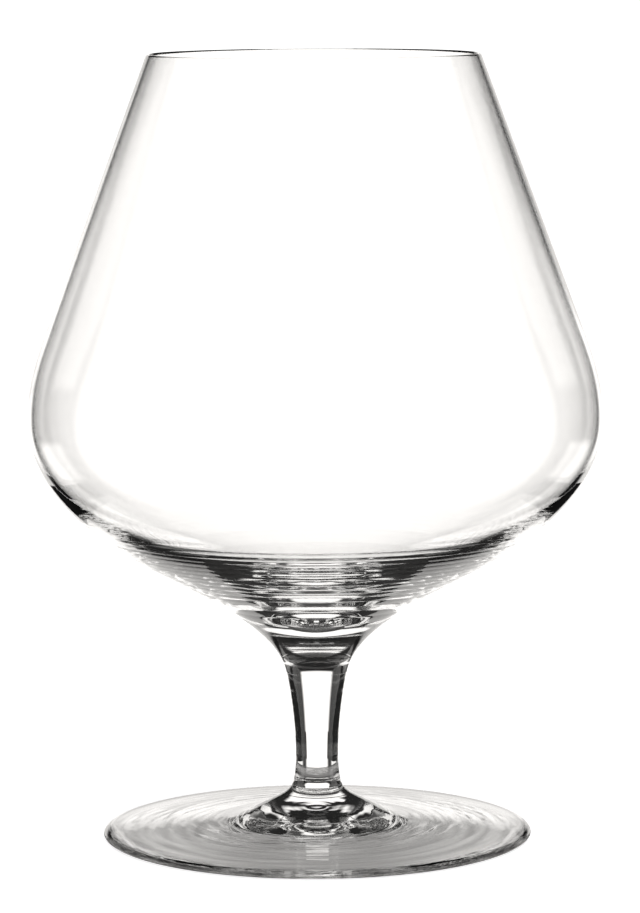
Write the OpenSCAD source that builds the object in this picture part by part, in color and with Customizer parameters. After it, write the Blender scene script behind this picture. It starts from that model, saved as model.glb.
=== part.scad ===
// Brandy snifter with a short drawn stem and a wide round foot.
// Three pieces of clear glass, fused end to end on the axis: bowl, stem and foot.
// Origin: centre of the ring that the foot stands on, +Z up, millimetres.
//
// Each outline follows a skeleton of straight lines. Where two lines meet, a smooth turn
// runs between two points that lie on them, drawn towards their corner.

/* [Overall] */
// Height from the table to the rim
glass_h = 166; // [150:1:190]

/* [Bowl outside] */
// Diameter of the mouth, measured outside
rim_d = 70; // [56:1:84]
// Largest diameter of the bowl
belly_d = 121.2; // [104:0.2:136]
// Height of the largest diameter
belly_z = 89.6; // [84:0.2:94]
// Height where the flank's line would reach the largest diameter
shoulder_z = 97; // [95:0.5:103]
// Height where the straight flank ends and the shoulder starts to turn
flank_end_z = 107; // [104:0.5:120]
// Height where the underside's line would reach the largest diameter
hip_z = 72; // [66:0.5:80]
// Diameter where the hip's turn ends on the straight underside
hip_end_d = 72; // [62:1:84]
// Diameter where the straight underside ends and the neck starts to turn
neck_start_d = 58; // [40:1:60]
// Height where the underside's line would reach the stem's line
neck_z = 43.7; // [40:0.1:47]
// Diameter where the underside's line would reach the stem's line
neck_d = 16.6; // [13:0.2:22]

/* [Bowl wall] */
// Wall at the rim
rim_wall = 0.8; // [0.6:0.1:1.4]
// Wall at the largest diameter
belly_wall = 1.2; // [0.8:0.1:2]
// Thickness of the underside below the inside's hip line, measured upwards
hip_wall = 1; // [0.8:0.1:3]
// Height of the lowest point of the inside
well_z = 48.5; // [46.5:0.5:52]
// Diameter where the inside's sloping line would meet the bottom of the well
well_d = 14; // [10:0.5:24]

/* [Rings under the bowl] */
// Number of turned rings on the underside
ring_count = 16; // [6:1:24]
// Diameter where the highest ring starts
ring_top_d = 98; // [90:0.2:102]
// Diameter where the lowest ring ends
ring_base_d = 34; // [24:1:50]
// Depth of the groove under the lowest ring, the deepest
ring_depth = 0.05; // [0.03:0.01:0.3]
// How many times wider the lowest ring is than the highest
ring_growth = 2.3; // [1.1:0.1:3]

/* [Stem] */
// Height of the fused joint under the bowl
stem_top_z = 35.2; // [31:0.2:38]
// Height where the stem's taper would reach the smallest diameter
taper_z = 26.3; // [23:0.1:29]
// Smallest diameter of the stem
waist_d = 9; // [6:0.1:11]
// Height of the smallest diameter
waist_z = 17.5; // [15:0.5:21]
// Height where the flare's line would reach the smallest diameter
flare_z = 13; // [12:0.1:14.5]
// Height of the fused joint on the foot
stem_base_z = 11; // [10.2:0.1:11.8]

/* [Foot] */
// Diameter of the foot
foot_d = 91; // [80:1:104]
// Thickness of the foot's rounded edge
foot_edge = 1.8; // [1.4:0.1:2.6]
// Diameter where the flare's line would meet the top of the boss
boss_top_d = 11.7; // [11.2:0.1:14]
// Height where the flare's line would meet the top of the boss
boss_top_z = 9.7; // [8.8:0.1:10]
// Diameter where the boss's slope would meet the disc
boss_end_d = 35; // [28:0.2:44]
// Height where the boss's slope would meet the disc
boss_end_z = 3.7; // [3.2:0.1:5]
// Diameter of the ring that the glass stands on
stand_d = 84; // [74:1:86]
// Width of the flat of that ring
stand_w = 1.6; // [1:0.1:2.4]
// Rise of the hollow under the foot
hollow_h = 2.2; // [1:0.1:2.6]

/* [Hidden] */
$fn = 128;
glass_tint = [0.86, 0.88, 0.88, 0.4];

// Points along one turn, and points across one ring
turn_steps = 28;
ring_steps = 6;

// How far the two handles of each turn reach towards its corner
shoulder_pull_shares = [0.76, 0.72];
hip_pull_shares = [0.62, 0.66];
neck_pull_shares = [0.75, 0.69];
taper_pull_shares = [0.6, 0.5];
flare_pull_shares = [0.6, 0.6];
boss_pull_shares = [0.6, 0.6];
hollow_pull_shares = [0.85, 0.5];
round_pull_shares = [0.55, 0.55];

// Where the turns inside the bowl and on the foot end, as shares of the lines they lie on
inner_hip_share = 0.43;
well_start_share = 0.8;
boss_turn_share = 0.2;
disc_leave_share = 0.8;
disc_join_share = 0.1;
hollow_corner_share = 0.5;
lip_top_share = 0.5;

// The point at share s of the way from p to q, and the points at a height or at a radius
function between(p, q, s) = p + s * (q - p);
function at_height(p, q, z) = between(p, q, (z - p[1]) / (q[1] - p[1]));
function at_radius(p, q, r) = between(p, q, (r - p[0]) / (q[0] - p[0]));

// A smooth turn from p to q, both ends pointing at the corner
function turn_point(p, a, b, q, t) =
    pow(1 - t, 3) * p + 3 * pow(1 - t, 2) * t * a + 3 * (1 - t) * t * t * b + pow(t, 3) * q;
function turn(p, corner, q, pull) =
    let (a = between(p, corner, pull[0]), b = between(q, corner, pull[1]))
    [for (i = [0 : turn_steps]) turn_point(p, a, b, q, i / turn_steps)];
function reversed(points) = [for (i = [len(points) - 1 : -1 : 0]) points[i]];

// Skeleton of the outside, from the rim down to the table
rim_r = rim_d / 2;
belly_r = belly_d / 2;
waist_r = waist_d / 2;
foot_r = foot_d / 2;
rim_edge = [rim_r, glass_h];
shoulder_corner = [belly_r, shoulder_z];
belly_point = [belly_r, belly_z];
hip_corner = [belly_r, hip_z];
neck_corner = [neck_d / 2, neck_z];
taper_corner = [waist_r, taper_z];
waist_point = [waist_r, waist_z];
flare_corner = [waist_r, flare_z];
boss_corner = [boss_top_d / 2, boss_top_z];
disc_corner = [boss_end_d / 2, boss_end_z];
disc_edge = [foot_r - foot_edge, foot_edge];

flank_end = at_height(rim_edge, shoulder_corner, flank_end_z);
hip_end = at_radius(hip_corner, neck_corner, hip_end_d / 2);
neck_start = at_radius(hip_corner, neck_corner, neck_start_d / 2);
stem_top = at_height(neck_corner, taper_corner, stem_top_z);
stem_base = at_height(flare_corner, boss_corner, stem_base_z);

// Smooth underside of the bowl, from the belly down to the stem, before the rings are turned
underside = concat(
    turn(belly_point, hip_corner, hip_end, hip_pull_shares),
    turn(neck_start, neck_corner, stem_top, neck_pull_shares)
);
underside_heights = reversed(underside);
function underside_z(r) = lookup(r, underside_heights);

// Rings: each is a low round ridge, and the grooves between them are as much deeper as they
// are further apart
ring_top_r = ring_top_d / 2;
ring_base_r = ring_base_d / 2;
function ring_r(u) =
    ring_top_r - (ring_top_r - ring_base_r) * (pow(ring_growth, u) - 1) / (ring_growth - 1);
function ring_point(u, groove) =
    let (
        r = ring_r(u),
        slope_step = (ring_top_r - ring_base_r) / ring_count,
        rise = underside_z(r + slope_step) - underside_z(r - slope_step),
        slope = rise / (2 * slope_step),
        reach = groove / sqrt(1 + slope * slope)
    )
    [r - reach * slope, underside_z(r) + reach];
rings = [
    for (i = [0 : ring_count * ring_steps])
        let (
            u = i / (ring_count * ring_steps),
            groove = ring_depth * pow(ring_growth, u - 1)
        )
        ring_point(u, groove * (1 - abs(sin(180 * ring_count * u))))
];

// The outside of the bowl: flank, shoulder, hip down to the first ring, rings, neck
above_rings = [for (p = underside) if (p[0] > ring_top_r) p];
below_rings = [for (p = underside) if (p[0] < ring_base_r) p];
lip_drop = rim_wall / 2;
lip_outside = at_height(rim_edge, shoulder_corner, glass_h - lip_drop);
bowl_outside = concat(
    turn(flank_end, shoulder_corner, belly_point, shoulder_pull_shares),
    above_rings,
    rings,
    below_rings
);

// The inside of the bowl, from the lip down to the axis
inner_r = belly_r - belly_wall;
inner_rim = [rim_r - rim_wall, glass_h];
inner_shoulder = [inner_r, shoulder_z];
inner_hip = [inner_r, hip_z + hip_wall];
well_corner = [well_d / 2, well_z];
lip_inside = at_height(inner_rim, inner_shoulder, glass_h - lip_drop);
lip_top = between(rim_edge, inner_rim, lip_top_share);
bowl_inside = concat(
    turn(
        at_height(inner_rim, inner_shoulder, flank_end_z), inner_shoulder,
        [inner_r, belly_z], shoulder_pull_shares
    ),
    turn(
        [inner_r, belly_z], inner_hip,
        between(inner_hip, well_corner, inner_hip_share), hip_pull_shares
    ),
    turn(
        between(inner_hip, well_corner, well_start_share), well_corner,
        [0, well_z], round_pull_shares
    )
);
lip = concat(
    turn(lip_inside, inner_rim, lip_top, round_pull_shares),
    turn(lip_top, rim_edge, lip_outside, round_pull_shares)
);

module bowl() {
    color(glass_tint)
        rotate_extrude()
            polygon(concat([[0, stem_top_z]], reversed(bowl_inside), lip, bowl_outside));
}

// The stem: a taper that runs into the waist, and a flare that runs out to the foot
stem_side = concat(
    turn(stem_top, taper_corner, waist_point, taper_pull_shares),
    turn(waist_point, flare_corner, stem_base, flare_pull_shares)
);

module stem() {
    color(glass_tint)
        rotate_extrude()
            polygon(concat([[0, stem_base_z], [0, stem_top_z]], stem_side));
}

// The foot: boss, disc, rounded edge, standing ring and the hollow under it
stand_in = [(stand_d - stand_w) / 2, 0];
stand_out = [(stand_d + stand_w) / 2, 0];
edge_point = [foot_r, foot_edge / 2];
foot_side = concat(
    turn(
        stem_base, boss_corner,
        between(boss_corner, disc_corner, boss_turn_share), boss_pull_shares
    ),
    turn(
        between(boss_corner, disc_corner, disc_leave_share), disc_corner,
        between(disc_corner, disc_edge, disc_join_share), boss_pull_shares
    ),
    turn(disc_edge, [foot_r, foot_edge], edge_point, round_pull_shares),
    turn(edge_point, [foot_r, 0], stand_out, round_pull_shares),
    turn(
        stand_in, [hollow_corner_share * stand_in[0], hollow_h],
        [0, hollow_h], hollow_pull_shares
    )
);

module foot() {
    color(glass_tint)
        rotate_extrude()
            polygon(concat([[0, stem_base_z]], foot_side));
}

bowl();
stem();
foot();
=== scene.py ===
"""Brandy snifter in clear crystal: wide bowl, short solid stem and round foot.

Bowl, stem and foot are three turned pieces, fused on the axis. Each is its outline, carried
once round the axis by a geometry tree, which also presses the turned rings into it.
Metres, +Z up, origin at the centre of the ring that the foot stands on.
"""

import math

import bpy
from mathutils import Matrix

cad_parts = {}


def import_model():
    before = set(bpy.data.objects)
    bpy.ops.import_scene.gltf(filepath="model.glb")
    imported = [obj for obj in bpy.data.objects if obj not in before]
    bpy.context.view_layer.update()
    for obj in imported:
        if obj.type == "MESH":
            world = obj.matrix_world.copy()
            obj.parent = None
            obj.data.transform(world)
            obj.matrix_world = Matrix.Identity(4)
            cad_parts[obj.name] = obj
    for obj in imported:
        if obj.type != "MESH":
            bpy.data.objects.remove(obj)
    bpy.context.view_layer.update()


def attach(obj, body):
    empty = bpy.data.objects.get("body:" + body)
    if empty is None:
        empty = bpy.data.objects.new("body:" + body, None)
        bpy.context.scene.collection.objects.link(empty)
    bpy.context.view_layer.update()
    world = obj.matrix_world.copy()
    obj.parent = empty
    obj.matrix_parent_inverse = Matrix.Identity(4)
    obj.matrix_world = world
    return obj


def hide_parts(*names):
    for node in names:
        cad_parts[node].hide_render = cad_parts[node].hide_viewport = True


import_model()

MM = 0.001

# Sizes, in millimetres

GLASS_H = 166

# Bowl
RIM_D, RIM_WALL = 70, 0.8
BELLY_D, BELLY_Z, BELLY_WALL = 121.2, 89.6, 1.2
SHOULDER_Z, FLANK_END_Z = 97, 107
HIP_Z, HIP_END_D, HIP_WALL = 72, 72, 1
NECK_START_D, NECK_Z, NECK_D = 58, 43.7, 16.6
WELL_Z, WELL_D = 48.5, 14

# Stem
STEM_TOP_Z, STEM_BASE_Z = 35.2, 11
TAPER_Z, WAIST_D, WAIST_Z, FLARE_Z = 26.3, 9, 17.5, 13

# Foot
FOOT_D, FOOT_EDGE = 91, 1.8
BOSS_TOP_D, BOSS_TOP_Z = 11.7, 9.7
BOSS_END_D, BOSS_END_Z = 35, 3.7
STAND_D, STAND_W, HOLLOW_H = 84, 1.6, 2.2

# Rings turned under the bowl, and faint ones left by the tool on the foot:
# count, outer and inner diameter, growth in width from the outer to the inner one, depth
BOWL_RINGS = (16, 98, 34, 2.3, 0.05)
FOOT_RINGS = (14, 84, 14, 0.5, 0.01)
# The stem has none, but the tree's sums still need a ring, so it has one of no depth
NO_RINGS = (1, 2, 1, 2, 0)

# Steps along a turn of an outline, along the small turns at the lip and the foot's edge, and
# across a ring, and facets round the axis
TURN_STEPS, LIP_STEPS, EDGE_STEPS = 36, 8, 12
RING_STEPS = 8
FACETS_ROUND = 192
# The very short first and last step of a turn, as a share of it
END_STEP = 0.002
# Points of an outline that lie closer than this are one point, and radii that differ by less
# than a hair are equal
CLOSEST = 0.01
HAIR = 1e-6
# So many points before and after a point of an outline give the slope there
SLOPE_REACH = 2

# How far the two handles of each turn reach towards its corner
SHOULDER_PULL = (0.76, 0.72)
HIP_PULL = (0.62, 0.66)
NECK_PULL = (0.75, 0.69)
TAPER_PULL = (0.6, 0.5)
FLARE_PULL = (0.6, 0.6)
BOSS_PULL = (0.6, 0.6)
HOLLOW_PULL = (0.85, 0.5)
ROUND_PULL = (0.55, 0.55)

# Where turns end, as shares of the lines they lie on
INNER_HIP_SHARE = 0.43
WELL_START_SHARE = 0.8
BOSS_TURN_SHARE = 0.2
DISC_LEAVE_SHARE = 0.8
DISC_JOIN_SHARE = 0.1
HOLLOW_CORNER_SHARE = 0.5
LIP_TOP_SHARE = 0.5


# Outlines, as (radius, height)


def between(p, q, share):
    return (p[0] + share * (q[0] - p[0]), p[1] + share * (q[1] - p[1]))


def at_height(p, q, z):
    return between(p, q, (z - p[1]) / (q[1] - p[1]))


def at_radius(p, q, r):
    return between(p, q, (r - p[0]) / (q[0] - p[0]))


def turn(p, corner, q, pull, steps=TURN_STEPS):
    """A smooth turn from p to q, both ends pointing at the corner.

    A very short first and last step give the faces there the slope of the line they meet.
    """
    handles = (p, between(p, corner, pull[0]), between(q, corner, pull[1]), q)
    points = []
    for t in [0, END_STEP] + [i / steps for i in range(1, steps)] + [1 - END_STEP, 1]:
        weights = ((1 - t) ** 3, 3 * (1 - t) ** 2 * t, 3 * (1 - t) * t * t, t**3)
        points.append(tuple(sum(w * c[k] for w, c in zip(weights, handles)) for k in (0, 1)))
    return points


def height_on(line, r):
    """Height of an outline at a radius. The outline runs inwards."""
    for outer, inner in zip(line, line[1:]):
        if inner[0] <= r <= outer[0] and inner[0] < outer[0]:
            return at_radius(outer, inner, r)[1]
    return line[-1][1]


def with_ring_points(line, rings):
    """The outline, with its points between the ring diameters set on the rings' own steps."""
    count, outer_d, inner_d, growth, _ = rings
    outer_r, inner_r = outer_d / 2, inner_d / 2
    steps = count * RING_STEPS
    on_rings = []
    for i in range(steps + 1):
        run = (growth ** (i / steps) - 1) / (growth - 1)
        r = outer_r - (outer_r - inner_r) * run
        on_rings.append((r, height_on(line, r)))
    return (
        [p for p in line if p[0] > outer_r + HAIR]
        + on_rings
        + [p for p in line if p[0] < inner_r - HAIR]
    )


rim_edge = (RIM_D / 2, GLASS_H)
shoulder_corner = (BELLY_D / 2, SHOULDER_Z)
belly_point = (BELLY_D / 2, BELLY_Z)
hip_corner = (BELLY_D / 2, HIP_Z)
neck_corner = (NECK_D / 2, NECK_Z)
taper_corner = (WAIST_D / 2, TAPER_Z)
waist_point = (WAIST_D / 2, WAIST_Z)
flare_corner = (WAIST_D / 2, FLARE_Z)
boss_corner = (BOSS_TOP_D / 2, BOSS_TOP_Z)
disc_corner = (BOSS_END_D / 2, BOSS_END_Z)
disc_edge = (FOOT_D / 2 - FOOT_EDGE, FOOT_EDGE)

stem_top = at_height(neck_corner, taper_corner, STEM_TOP_Z)
stem_base = at_height(flare_corner, boss_corner, STEM_BASE_Z)


def bowl_outline():
    """From the middle of the well up the inside, over the lip and down the outside."""
    inner_r = BELLY_D / 2 - BELLY_WALL
    inner_rim = (RIM_D / 2 - RIM_WALL, GLASS_H)
    inner_shoulder = (inner_r, SHOULDER_Z)
    inner_hip = (inner_r, HIP_Z + HIP_WALL)
    well_corner = (WELL_D / 2, WELL_Z)
    lip_z = GLASS_H - RIM_WALL / 2
    lip_top = between(rim_edge, inner_rim, LIP_TOP_SHARE)
    flank = at_height(rim_edge, shoulder_corner, FLANK_END_Z)
    inner_flank = at_height(inner_rim, inner_shoulder, FLANK_END_Z)
    inside = (
        turn(inner_flank, inner_shoulder, (inner_r, BELLY_Z), SHOULDER_PULL)
        + turn(
            (inner_r, BELLY_Z),
            inner_hip,
            between(inner_hip, well_corner, INNER_HIP_SHARE),
            HIP_PULL,
        )
        + turn(
            between(inner_hip, well_corner, WELL_START_SHARE),
            well_corner,
            (0, WELL_Z),
            ROUND_PULL,
        )
    )
    lip_inside = at_height(inner_rim, inner_shoulder, lip_z)
    lip_outside = at_height(rim_edge, shoulder_corner, lip_z)
    lip = turn(lip_inside, inner_rim, lip_top, ROUND_PULL, LIP_STEPS) + turn(
        lip_top, rim_edge, lip_outside, ROUND_PULL, LIP_STEPS
    )
    underside = turn(
        belly_point,
        hip_corner,
        at_radius(hip_corner, neck_corner, HIP_END_D / 2),
        HIP_PULL,
    ) + turn(
        at_radius(hip_corner, neck_corner, NECK_START_D / 2),
        neck_corner,
        stem_top,
        NECK_PULL,
    )
    return (
        inside[::-1],
        lip + turn(flank, shoulder_corner, belly_point, SHOULDER_PULL),
        with_ring_points(underside, BOWL_RINGS) + [(0, STEM_TOP_Z)],
    )


def stem_outline():
    """From the centre of the upper joint down the side to the centre of the lower one."""
    return (
        [(0, STEM_TOP_Z)],
        turn(stem_top, taper_corner, waist_point, TAPER_PULL)
        + turn(waist_point, flare_corner, stem_base, FLARE_PULL),
        [(0, STEM_BASE_Z)],
    )


def foot_outline():
    """From the joint's centre over the boss and disc, round the edge and into the hollow."""
    edge_point = (FOOT_D / 2, FOOT_EDGE / 2)
    stand_in = ((STAND_D - STAND_W) / 2, 0)
    stand_out = ((STAND_D + STAND_W) / 2, 0)
    top = turn(
        stem_base,
        boss_corner,
        between(boss_corner, disc_corner, BOSS_TURN_SHARE),
        BOSS_PULL,
    ) + turn(
        between(boss_corner, disc_corner, DISC_LEAVE_SHARE),
        disc_corner,
        between(disc_corner, disc_edge, DISC_JOIN_SHARE),
        BOSS_PULL,
    )
    top.append(disc_edge)
    edge = turn(disc_edge, (FOOT_D / 2, FOOT_EDGE), edge_point, ROUND_PULL, EDGE_STEPS) + turn(
        edge_point, (FOOT_D / 2, 0), stand_out, ROUND_PULL, EDGE_STEPS
    )
    hollow = turn(
        stand_in,
        (HOLLOW_CORNER_SHARE * stand_in[0], HOLLOW_H),
        (0, HOLLOW_H),
        HOLLOW_PULL,
    )
    return (
        [(0, STEM_BASE_Z)],
        with_ring_points(top[::-1], FOOT_RINGS)[::-1],
        edge + hollow,
    )


# Geometry tree

# In metres: points this close are welded, and points this close to a joint's height lie on it
WELD, JOINT_REACH = 1e-6, 2e-6
# A face lies on a joint when all its corners do
ALL_CORNERS = 0.999
# The least that the rings' growth may come to before its logarithm is taken
LEAST_GROWN = 0.01


class Tree:
    """Adds nodes to a node tree and joins them in one call."""

    def __init__(self, tree):
        self.tree = tree

    def add(self, kind, values=None, links=None, **settings):
        node = self.tree.nodes.new(kind)
        for key, value in settings.items():
            setattr(node, key, value)
        for key, value in (values or {}).items():
            node.inputs[key].default_value = value
        for key, source in (links or {}).items():
            self.tree.links.new(source, node.inputs[key])
        return node

    def maths(self, operation, *terms):
        node = self.tree.nodes.new("ShaderNodeMath")
        node.operation = operation
        for socket, term in zip(node.inputs, terms):
            if isinstance(term, (int, float)):
                socket.default_value = term
            else:
                self.tree.links.new(term, socket)
        return node.outputs[0]


def turning_tree():
    """The geometry tree that turns a piece from its outline.

    The outline is a row of points at (radius, 0, height), with two point attributes: ringed is
    1 where the rings lie, and inward points from the surface into the glass.
    """
    tree = bpy.data.node_groups.new("turned_glass", "GeometryNodeTree")
    face = tree.interface
    face.new_socket("Outline", in_out="INPUT", socket_type="NodeSocketGeometry")
    for name, kind in (
        ("Facets Round", "NodeSocketInt"),
        ("Ring Count", "NodeSocketInt"),
        ("Ring Outer Radius", "NodeSocketFloat"),
        ("Ring Inner Radius", "NodeSocketFloat"),
        ("Ring Growth", "NodeSocketFloat"),
        ("Ring Depth", "NodeSocketFloat"),
        ("Upper Joint Height", "NodeSocketFloat"),
        ("Lower Joint Height", "NodeSocketFloat"),
        ("Glass", "NodeSocketMaterial"),
        ("Fused Face", "NodeSocketMaterial"),
    ):
        face.new_socket(name, in_out="INPUT", socket_type=kind)
    face.new_socket("Piece", in_out="OUTPUT", socket_type="NodeSocketGeometry")
    t = Tree(tree)
    given = tree.nodes.new("NodeGroupInput").outputs

    # Rings: each groove is as much deeper as the rings beside it are wider
    place = t.add(
        "ShaderNodeSeparateXYZ",
        links={0: t.add("GeometryNodeInputPosition").outputs[0]},
    )
    width = t.maths(
        "SUBTRACT", given["Ring Outer Radius"], given["Ring Inner Radius"]
    )
    run = t.maths(
        "DIVIDE", t.maths("SUBTRACT", given["Ring Outer Radius"], place.outputs["X"]), width
    )
    grown = t.maths("MULTIPLY_ADD", run, t.maths("SUBTRACT", given["Ring Growth"], 1.0), 1.0)
    log_base = t.maths("LOGARITHM", given["Ring Growth"], math.e)
    along = t.maths(
        "DIVIDE", t.maths("LOGARITHM", t.maths("MAXIMUM", grown, LEAST_GROWN), math.e), log_base
    )
    phase = t.maths("MULTIPLY", t.maths("MULTIPLY", along, given["Ring Count"]), math.pi)
    ridge = t.maths("SUBTRACT", 1.0, t.maths("ABSOLUTE", t.maths("SINE", phase)))
    depth = t.maths(
        "MULTIPLY",
        given["Ring Depth"],
        t.maths("POWER", given["Ring Growth"], t.maths("SUBTRACT", along, 1.0)),
    )
    ringed = t.add(
        "GeometryNodeInputNamedAttribute", {"Name": "ringed"}, data_type="FLOAT"
    ).outputs[0]
    inward = t.add(
        "GeometryNodeInputNamedAttribute", {"Name": "inward"}, data_type="FLOAT_VECTOR"
    ).outputs[0]
    press = t.maths("MULTIPLY", t.maths("MULTIPLY", depth, ridge), ringed)
    pressed = t.add(
        "GeometryNodeSetPosition",
        links={
            "Geometry": given["Outline"],
            "Offset": t.add(
                "ShaderNodeVectorMath",
                links={0: inward, "Scale": press},
                operation="SCALE",
            ).outputs[0],
        },
    ).outputs[0]

    # One turn round the axis: a grid whose columns are copies of the outline
    rows = t.add(
        "GeometryNodeAttributeDomainSize", links={0: given["Outline"]}, component="MESH"
    ).outputs["Point Count"]
    grid = t.add(
        "GeometryNodeMeshGrid",
        links={
            "Vertices X": t.maths("ADD", given["Facets Round"], 1.0),
            "Vertices Y": rows,
        },
    ).outputs["Mesh"]
    index = t.add("GeometryNodeInputIndex").outputs[0]
    # Half a step keeps the whole number below clear of rounding
    column = t.maths("FLOOR", t.maths("DIVIDE", t.maths("ADD", index, 0.5), rows))
    row = t.maths("SUBTRACT", index, t.maths("MULTIPLY", column, rows))
    sample = t.add(
        "GeometryNodeSampleIndex",
        links={
            "Geometry": pressed,
            "Value": t.add("GeometryNodeInputPosition").outputs[0],
            "Index": row,
        },
        data_type="FLOAT_VECTOR",
        domain="POINT",
    ).outputs[0]
    point = t.add("ShaderNodeSeparateXYZ", links={0: sample})
    angle = t.maths(
        "MULTIPLY", t.maths("DIVIDE", column, given["Facets Round"]), 2 * math.pi
    )
    turned = t.add(
        "ShaderNodeCombineXYZ",
        links={
            "X": t.maths("MULTIPLY", point.outputs["X"], t.maths("COSINE", angle)),
            "Y": t.maths("MULTIPLY", point.outputs["X"], t.maths("SINE", angle)),
            "Z": point.outputs["Z"],
        },
    ).outputs[0]
    surface = t.add(
        "GeometryNodeSetPosition", links={"Geometry": grid, "Position": turned}
    ).outputs[0]
    closed = t.add(
        "GeometryNodeMergeByDistance", {"Distance": WELD}, {"Geometry": surface}
    ).outputs[0]
    outward = t.add("GeometryNodeFlipFaces", links={"Mesh": closed}).outputs[0]

    # The faces at which two pieces are fused have no surface of their own, and don't pull the
    # shading of the sides that they meet
    height = t.add(
        "ShaderNodeSeparateXYZ",
        links={0: t.add("GeometryNodeInputPosition").outputs[0]},
    ).outputs["Z"]
    at_joint = t.maths(
        "MAXIMUM",
        t.maths("COMPARE", height, given["Upper Joint Height"], JOINT_REACH),
        t.maths("COMPARE", height, given["Lower Joint Height"], JOINT_REACH),
    )
    on_faces = t.add(
        "GeometryNodeFieldOnDomain", links={0: at_joint}, domain="POINT", data_type="FLOAT"
    ).outputs[0]
    side = t.maths("LESS_THAN", on_faces, ALL_CORNERS)
    smooth = t.add(
        "GeometryNodeSetShadeSmooth",
        links={"Geometry": outward, "Shade Smooth": side},
    ).outputs[0]
    whole = t.add("GeometryNodeRealizeInstances", links={"Geometry": smooth}).outputs[0]
    fused = t.add(
        "GeometryNodeSetMaterial", links={"Geometry": whole, "Material": given["Fused Face"]}
    ).outputs[0]
    dressed = t.add(
        "GeometryNodeSetMaterial",
        links={"Geometry": fused, "Selection": side, "Material": given["Glass"]},
    ).outputs[0]
    out = tree.nodes.new("NodeGroupOutput")
    tree.links.new(dressed, out.inputs["Piece"])
    return tree


def turned_piece(
    name, tree, outline, joints, glass, fused_face, rings=NO_RINGS, ringed_run=None
):
    """One piece of glass, turned from the three runs of its outline.

    The joints are the heights at which it is fused to others, and the ringed run is the number
    of the run that the rings lie on.
    """
    count, outer_d, inner_d, growth, depth = rings
    points, mask = [], []
    for number, run in enumerate(outline):
        for r, z in run:
            if points and math.dist(points[-1], (r, z)) < CLOSEST:
                continue
            points.append((r, z))
            among_rings = inner_d / 2 - HAIR <= r <= outer_d / 2 + HAIR
            mask.append(1.0 if number == ringed_run and among_rings else 0.0)
    mesh = bpy.data.meshes.new(name + "_outline")
    mesh.from_pydata(
        [(r * MM, 0, z * MM) for r, z in points],
        [(i, i + 1) for i in range(len(points) - 1)],
        [],
    )
    ringed = mesh.attributes.new("ringed", "FLOAT", "POINT")
    ringed.data.foreach_set("value", mask)
    # The glass lies to the right of the way that the outline runs
    inward = mesh.attributes.new("inward", "FLOAT_VECTOR", "POINT")
    for i, vector in enumerate(inward.data):
        before = points[max(i - SLOPE_REACH, 0)]
        after = points[min(i + SLOPE_REACH, len(points) - 1)]
        dr, dz = after[0] - before[0], after[1] - before[1]
        size = math.hypot(dr, dz) or 1
        vector.vector = (dz / size, 0, -dr / size)

    source = bpy.data.objects.new(name + "_outline", mesh)
    bpy.context.scene.collection.objects.link(source)
    modifier = source.modifiers.new("turned_glass", "NODES")
    modifier.node_group = tree
    settings = {
        "Facets Round": FACETS_ROUND,
        "Ring Count": count,
        "Ring Outer Radius": outer_d / 2 * MM,
        "Ring Inner Radius": inner_d / 2 * MM,
        "Ring Growth": float(growth),
        "Ring Depth": depth * MM,
        "Upper Joint Height": joints[0] * MM,
        "Lower Joint Height": joints[-1] * MM,
        "Glass": glass,
        "Fused Face": fused_face,
    }
    for item in tree.interface.items_tree:
        if item.in_out == "INPUT" and item.name in settings:
            modifier[item.identifier] = settings[item.name]
    shape = bpy.data.meshes.new_from_object(
        source.evaluated_get(bpy.context.evaluated_depsgraph_get())
    )
    source.modifiers.remove(modifier)
    bpy.data.objects.remove(source)
    shape.name = name + "_glass"
    if shape.materials[0] is None:
        shape.materials.pop(index=0)
    piece = bpy.data.objects.new(name + "_glass", shape)
    bpy.context.scene.collection.objects.link(piece)
    return piece


# Materials

CRYSTAL_IOR = 1.52
# Ripple of each kind of glass: its height in metres, and how quick it is across the turning
# marks and around the axis, per metre
BLOWN_RIPPLE = (6e-6, 200, 60)
DRAWN_RIPPLE = (4e-6, 200, 100)
SPUN_RIPPLE = (5e-5, 500, 60)
# The noise behind each ripple, and the middle of its values
NOISE_DETAIL, NOISE_ROUGHNESS, NOISE_MIDDLE = 1, 0.4, 0.5


def turned_noise(t, across, around):
    """Noise that is drawn out into rings: quick across them and slow around the axis."""
    place = t.add(
        "ShaderNodeSeparateXYZ", links={0: t.add("ShaderNodeTexCoord").outputs["Object"]}
    ).outputs
    x, y = place["X"], place["Y"]
    radius = t.maths("SQRT", t.maths("ADD", t.maths("MULTIPLY", x, x), t.maths("MULTIPLY", y, y)))
    spot = t.add(
        "ShaderNodeCombineXYZ",
        links={
            "X": t.maths("MULTIPLY_ADD", radius, across, t.maths("MULTIPLY", x, around)),
            "Y": t.maths("MULTIPLY_ADD", place["Z"], across, t.maths("MULTIPLY", y, around)),
            "Z": t.maths("MULTIPLY", t.maths("SUBTRACT", x, y), around),
        },
    ).outputs[0]
    return t.add(
        "ShaderNodeTexNoise",
        {"Scale": 1, "Detail": NOISE_DETAIL, "Roughness": NOISE_ROUGHNESS},
        {"Vector": spot},
    ).outputs["Fac"]


def crystal(name, ripple):
    """Clear crystal with the slight ripple that turning the hot glass leaves."""
    height, across, around = ripple
    material = bpy.data.materials.new(name)
    material.use_nodes = True
    t = Tree(material.node_tree)
    shader = material.node_tree.nodes["Principled BSDF"]
    shader.inputs["Base Color"].default_value = (1, 1, 1, 1)
    shader.inputs["Roughness"].default_value = 0
    shader.inputs["IOR"].default_value = CRYSTAL_IOR
    shader.inputs["Transmission Weight"].default_value = 1
    bump = t.add(
        "ShaderNodeBump",
        {"Strength": 1, "Distance": height},
        {"Height": turned_noise(t, across, around)},
    ).outputs[0]
    material.node_tree.links.new(bump, shader.inputs["Normal"])
    return material


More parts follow.
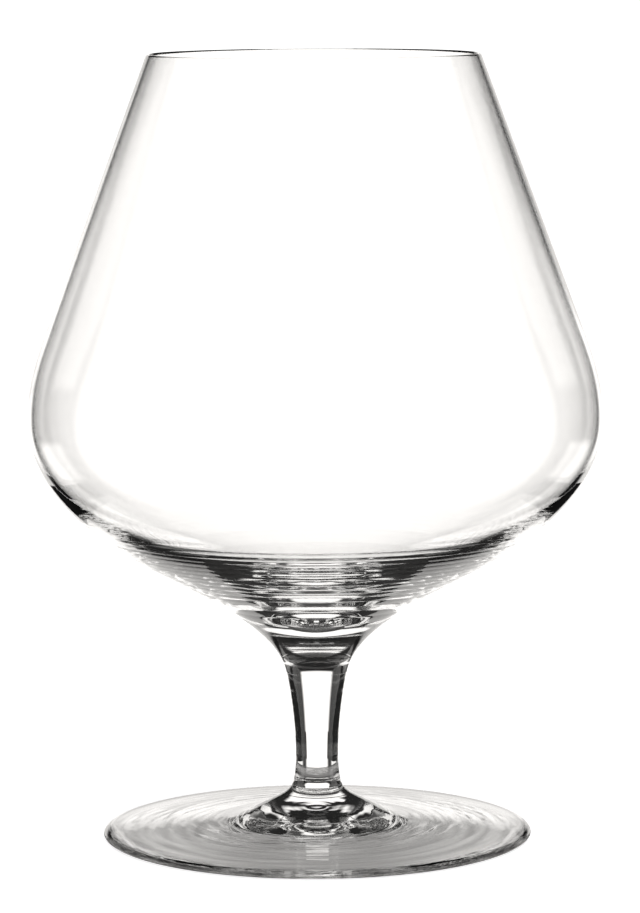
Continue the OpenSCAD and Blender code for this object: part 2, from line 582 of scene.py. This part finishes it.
def no_surface(name):
    """For the face where two pieces are one glass."""
    material = bpy.data.materials.new(name)
    material.use_nodes = True
    shader = material.node_tree.nodes["Principled BSDF"]
    shader.inputs["Alpha"].default_value = 0
    return material


# The glass

tree = turning_tree()
fused_face = no_surface("fused_face")
pieces = {
    "bowl": turned_piece(
        "bowl",
        tree,
        bowl_outline(),
        (STEM_TOP_Z,),
        crystal("blown_crystal", BLOWN_RIPPLE),
        fused_face,
        rings=BOWL_RINGS,
        ringed_run=2,
    ),
    "stem": turned_piece(
        "stem",
        tree,
        stem_outline(),
        (STEM_TOP_Z, STEM_BASE_Z),
        crystal("drawn_crystal", DRAWN_RIPPLE),
        fused_face,
    ),
    "foot": turned_piece(
        "foot",
        tree,
        foot_outline(),
        (STEM_BASE_Z,),
        crystal("spun_crystal", SPUN_RIPPLE),
        fused_face,
        rings=FOOT_RINGS,
        ringed_run=1,
    ),
}
for node, piece in pieces.items():
    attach(piece, "root")
    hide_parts(node)


# Studio

# Clear glass shows what is around it. This glass stands in a large tent of black cloth with
# lit white panels in it, as for photographs of glass: the panels shine through it and the
# black cloth draws its edges. The camera itself sees a white world and a white floor, and it
# sees the tent, two black cards and a glowing grey disc of painted shade only in or through the
# glass. Metres and degrees.

# Each panel: its bearing from straight behind the glass, half its width and how soft its sides
# are, the rise of its top, and its level
PANELS = (
    (0, 22, 3, 11, 1.28),
    (90, 20, 4, 25, 1.2),
    (-90, 20, 4, 25, 1.2),
    (45, 12, 3, -11, 1.0),
    (-45, 12, 3, -11, 1.0),
    (180, 72, 4, -2, 0.8),
)
PANEL_TOP_SOFTNESS = 2
BLACK_CLOTH = 0.015
LAMP_COLOUR = (1, 0.98, 0.955, 1)
# Below this rise, the tent is pale ground cloth
GROUND_TOP, GROUND_SOFTNESS, GROUND_LEVEL = -55, 3, 0.8
TENT_RADIUS, TENT_RINGS, TENT_SIDES = 20.0, 24, 48

# Two low black cards stand left and right of the stem, out of the picture. Each sinks towards
# the back, as the view from above does. A card has its distance from the axis, then the place
# and the heights of its front and of its back edge. It is black for light that has crossed no
# more surfaces than CARD_SURFACES, as through the solid stem, and clear for light that has
# crossed both walls of the bowl
CARD_X = 0.15
CARD_FRONT, CARD_FRONT_BASE, CARD_FRONT_TOP = 0.0, -0.022, 0.014
CARD_BACK, CARD_BACK_BASE, CARD_BACK_TOP = 0.4, -0.08, -0.02
CARD_SURFACES = 3

# Half the floor's width, its own glow, and the paint on it that the shadow falls on
FLOOR_HALF, FLOOR_GLOW, FLOOR_PAINT = 40.0, 0.85, 0.8
# The level at which the world lights things
PLAIN_LEVEL = 0.3

# A glowing grey disc of painted shade lies under the foot, as deep below the floor as keeps the
# two apart. Seen through the foot, it stands in for the table in the shadow of the glass
SHADE_DISC_RADIUS, SHADE_DISC_DEPTH, SHADE_DISC_SIDES = 0.046, 0.0001, 96
# Painted shade: left and right of the axis, it goes from its dark middle level to its paler side
# level
PAINTED_SHADE_MIDDLE_LEVEL, PAINTED_SHADE_SIDE_LEVEL = 0.5, 0.9
PAINTED_SHADE_MIDDLE_END, PAINTED_SHADE_SIDE_START = 0.01, 0.04
# Strength of the ring-shaped streaks of painted light in the shade, and how quick they are across
# and around, per metre
PAINTED_STREAKS, PAINTED_STREAK_ACROSS, PAINTED_STREAK_AROUND = 1.0, 500, 30
# Painted sheen: by the facing of the view, the glow is bright at flat angles and dark from
# above: its share of the level there, and the facing values at which the steep view ends and the
# flat one starts
PAINTED_SHEEN_STEEP_SHARE, PAINTED_SHEEN_STEEP_FACING, PAINTED_SHEEN_FLAT_FACING = 0.15, 0.45, 0.75
PAINTED_SHEEN_BLEND = 0.5

# How wide the sun is, how strong, and how far it tilts about each axis
SUN_WIDTH, SUN_LEVEL, SUN_TILT = 50, 0.85, (20, 15, 0)

# The photograph's camera, found from the glass's outline. The focal length is in pixels
CAMERA_PLACE = (0.00094, -0.907107, 0.194003)
CAMERA_TILT, CAMERA_ROLL = 7.089, -0.28
FOCAL_PIXELS, PHOTO_HEIGHT, SENSOR = 4329.6, 913, 36
CLIP_START, CLIP_END = 0.01, 100

# Clear glass needs long light paths
BOUNCES = 32


def stage_piece(name, verts, faces, material, in_glass):
    """A piece of the studio: seen only in and through the glass, or by all but the glass."""
    mesh = bpy.data.meshes.new(name)
    mesh.from_pydata(verts, [], faces)
    mesh.materials.append(material)
    piece = bpy.data.objects.new(name, mesh)
    bpy.context.scene.collection.objects.link(piece)
    if in_glass:
        piece.visible_camera = False
        piece.visible_diffuse = False
        piece.visible_shadow = False
    else:
        piece.visible_transmission = False
        piece.visible_glossy = False


def empty_material(name):
    material = bpy.data.materials.new(name)
    material.use_nodes = True
    material.node_tree.nodes.clear()
    return material, Tree(material.node_tree)


def circle(radius, z, sides):
    """Points round the axis at one height."""
    turns = [2 * math.pi * k / sides for k in range(sides)]
    return [(radius * math.cos(by), radius * math.sin(by), z) for by in turns]


def studio_cloth():
    """The tent's cloth: its glow follows the bearing and the rise from the glass."""
    material, t = empty_material("tent_cloth")
    place = t.add("ShaderNodeTexCoord").outputs["Object"]
    way = t.add("ShaderNodeVectorMath", links={0: place}, operation="NORMALIZE").outputs[0]
    split = t.add("ShaderNodeSeparateXYZ", links={0: way}).outputs
    degrees = 180 / math.pi
    bearing = t.maths("MULTIPLY", t.maths("ARCTAN2", split["X"], split["Y"]), degrees)
    rise = t.maths("MULTIPLY", t.maths("ARCSINE", split["Z"]), degrees)

    def soft_step(value, middle, softness):
        return t.add(
            "ShaderNodeMapRange",
            {1: middle - softness, 2: middle + softness, 3: 0, 4: 1},
            {0: value},
            interpolation_type="SMOOTHSTEP",
        ).outputs[0]

    walls = BLACK_CLOTH
    for centre, half, softness, top, level in PANELS:
        turned = t.maths("WRAP", t.maths("SUBTRACT", bearing, centre), 180, -180)
        across = t.maths("SUBTRACT", 1, soft_step(t.maths("ABSOLUTE", turned), half, softness))
        below = t.maths("SUBTRACT", 1, soft_step(rise, top, PANEL_TOP_SOFTNESS))
        panel = t.maths("MULTIPLY", t.maths("MULTIPLY", across, below), level)
        walls = t.maths("MAXIMUM", walls, panel)
    wall_share = soft_step(rise, GROUND_TOP, GROUND_SOFTNESS)
    ground = t.maths("MULTIPLY", t.maths("SUBTRACT", 1, wall_share), GROUND_LEVEL)
    both = t.maths("ADD", t.maths("MULTIPLY", walls, wall_share), ground)
    glow = t.add("ShaderNodeEmission", {"Color": LAMP_COLOUR}, {"Strength": both}).outputs[0]
    t.add("ShaderNodeOutputMaterial", links={"Surface": glow})
    return material


def tent():
    """A sphere round the whole studio, which only the glass sees."""
    verts = [(0, 0, -TENT_RADIUS)]
    for i in range(1, TENT_RINGS):
        rise = math.pi * (i / TENT_RINGS - 0.5)
        verts += circle(TENT_RADIUS * math.cos(rise), TENT_RADIUS * math.sin(rise), TENT_SIDES)
    verts.append((0, 0, TENT_RADIUS))
    top = len(verts) - 1
    last_ring = top - TENT_SIDES
    faces = []
    for k in range(TENT_SIDES):
        n = (k + 1) % TENT_SIDES
        faces.append((0, 1 + n, 1 + k))
        faces.append((top, last_ring + k, last_ring + n))
        for low in range(1, last_ring, TENT_SIDES):
            high = low + TENT_SIDES
            faces.append((low + k, low + n, high + n, high + k))
    stage_piece("tent", verts, faces, studio_cloth(), in_glass=True)


def cards():
    """Black cards beside the stem, which only the solid glass sees."""
    material, t = empty_material("black_card")
    surfaces = t.add("ShaderNodeLightPath").outputs["Transmission Depth"]
    card = t.add(
        "ShaderNodeMixShader",
        links={
            0: t.maths("GREATER_THAN", surfaces, CARD_SURFACES),
            1: t.add("ShaderNodeEmission", {"Strength": BLACK_CLOTH}).outputs[0],
            2: t.add("ShaderNodeBsdfTransparent").outputs[0],
        },
    ).outputs[0]
    t.add("ShaderNodeOutputMaterial", links={"Surface": card})
    outline = (
        (CARD_FRONT, CARD_FRONT_BASE),
        (CARD_BACK, CARD_BACK_BASE),
        (CARD_BACK, CARD_BACK_TOP),
        (CARD_FRONT, CARD_FRONT_TOP),
    )
    verts = [(x, y, z) for x in (-CARD_X, CARD_X) for y, z in outline]
    stage_piece("cards", verts, [(0, 1, 2, 3), (4, 5, 6, 7)], material, in_glass=True)


def world():
    """White for all that is seen, and a plain level for what it lights."""
    studio = bpy.data.worlds.new("studio")
    bpy.context.scene.world = studio
    studio.use_nodes = True
    studio.node_tree.nodes.clear()
    t = Tree(studio.node_tree)
    path = t.add("ShaderNodeLightPath").outputs
    in_glass = t.maths("MAXIMUM", path["Is Glossy Ray"], path["Is Transmission Ray"])
    seen = t.maths("MAXIMUM", path["Is Camera Ray"], in_glass)
    strength = t.maths("MAXIMUM", seen, PLAIN_LEVEL)
    sky = t.add("ShaderNodeBackground", {"Color": (1, 1, 1, 1)}, {"Strength": strength})
    t.add("ShaderNodeOutputWorld", links={"Surface": sky.outputs[0]})


def floor():
    """The floor that the camera sees, with the shadow of the glass on it."""
    material, t = empty_material("pale_floor")
    glow = t.add("ShaderNodeEmission", {"Color": (1, 1, 1, 1), "Strength": FLOOR_GLOW}).outputs[0]
    paint_colour = (FLOOR_PAINT, FLOOR_PAINT, FLOOR_PAINT, 1)
    paint = t.add("ShaderNodeBsdfDiffuse", {"Color": paint_colour}).outputs[0]
    both = t.add("ShaderNodeAddShader", links={0: glow, 1: paint}).outputs[0]
    t.add("ShaderNodeOutputMaterial", links={"Surface": both})
    reach = FLOOR_HALF
    corners = [(-reach, -reach, 0), (reach, -reach, 0), (reach, reach, 0), (-reach, reach, 0)]
    stage_piece("floor", corners, [(0, 1, 2, 3)], material, in_glass=False)


def painted_shade_disc():
    """A glowing grey disc of painted shade, which shows through the foot in place of the table
    that the glass shades.
    """
    material, t = empty_material("painted_shade_glow")
    place = t.add("ShaderNodeTexCoord").outputs["Object"]
    across = t.add("ShaderNodeSeparateXYZ", links={0: place}).outputs["X"]
    # Painted shade: dark in the middle, paler to the left and right of the axis
    plain = t.add(
        "ShaderNodeMapRange",
        {1: PAINTED_SHADE_MIDDLE_END, 2: PAINTED_SHADE_SIDE_START, 3: PAINTED_SHADE_MIDDLE_LEVEL, 4: PAINTED_SHADE_SIDE_LEVEL},
        {0: t.maths("ABSOLUTE", across)},
        interpolation_type="SMOOTHSTEP",
    ).outputs[0]
    # Ring-shaped streaks of painted light in the shade
    noise = turned_noise(t, PAINTED_STREAK_ACROSS, PAINTED_STREAK_AROUND)
    off_middle = t.maths("SUBTRACT", noise, NOISE_MIDDLE)
    streaks = t.maths("MULTIPLY_ADD", off_middle, PAINTED_STREAKS, 1)
    # Painted sheen: the glow is dimmed where the disc is seen from above
    painted_sheen = t.add(
        "ShaderNodeMapRange",
        {1: PAINTED_SHEEN_STEEP_FACING, 2: PAINTED_SHEEN_FLAT_FACING, 3: PAINTED_SHEEN_STEEP_SHARE, 4: 1},
        {0: t.add("ShaderNodeLayerWeight", {"Blend": PAINTED_SHEEN_BLEND}).outputs["Facing"]},
        interpolation_type="SMOOTHSTEP",
    ).outputs[0]
    level = t.maths("MULTIPLY", t.maths("MULTIPLY", plain, streaks), painted_sheen)
    glow = t.add("ShaderNodeEmission", {"Color": LAMP_COLOUR}, {"Strength": level}).outputs[0]
    t.add("ShaderNodeOutputMaterial", links={"Surface": glow})
    rim = circle(SHADE_DISC_RADIUS, -SHADE_DISC_DEPTH, SHADE_DISC_SIDES)
    stage_piece("painted_shade_disc", rim, [tuple(range(SHADE_DISC_SIDES))], material, in_glass=True)


def soft_sun():
    """A wide soft lamp from above, for the floor and the shadow on it."""
    data = bpy.data.lights.new("soft_sun", "SUN")
    data.angle = math.radians(SUN_WIDTH)
    data.energy = SUN_LEVEL
    piece = bpy.data.objects.new("soft_sun", data)
    bpy.context.scene.collection.objects.link(piece)
    piece.rotation_euler = [math.radians(by) for by in SUN_TILT]
    piece.visible_transmission = False
    piece.visible_glossy = False


def photo_camera():
    """The photograph's view."""
    data = bpy.data.cameras.new("camera")
    data.sensor_width = SENSOR
    data.lens = FOCAL_PIXELS / PHOTO_HEIGHT * SENSOR
    data.clip_start, data.clip_end = CLIP_START, CLIP_END
    piece = bpy.data.objects.new("camera", data)
    bpy.context.scene.collection.objects.link(piece)
    piece.matrix_world = (
        Matrix.Translation(CAMERA_PLACE)
        @ Matrix.Rotation(math.radians(90 - CAMERA_TILT), 4, "X")
        @ Matrix.Rotation(math.radians(CAMERA_ROLL), 4, "Z")
    )
    bpy.context.scene.camera = piece


world()
tent()
cards()
floor()
# The glowing disc of painted shade under the foot
painted_shade_disc()
soft_sun()
photo_camera()

scene = bpy.context.scene
scene.view_settings.view_transform = "Standard"
scene.cycles.max_bounces = BOUNCES
scene.cycles.transmission_bounces = BOUNCES
scene.cycles.glossy_bounces = BOUNCES
scene.cycles.transparent_max_bounces = BOUNCES
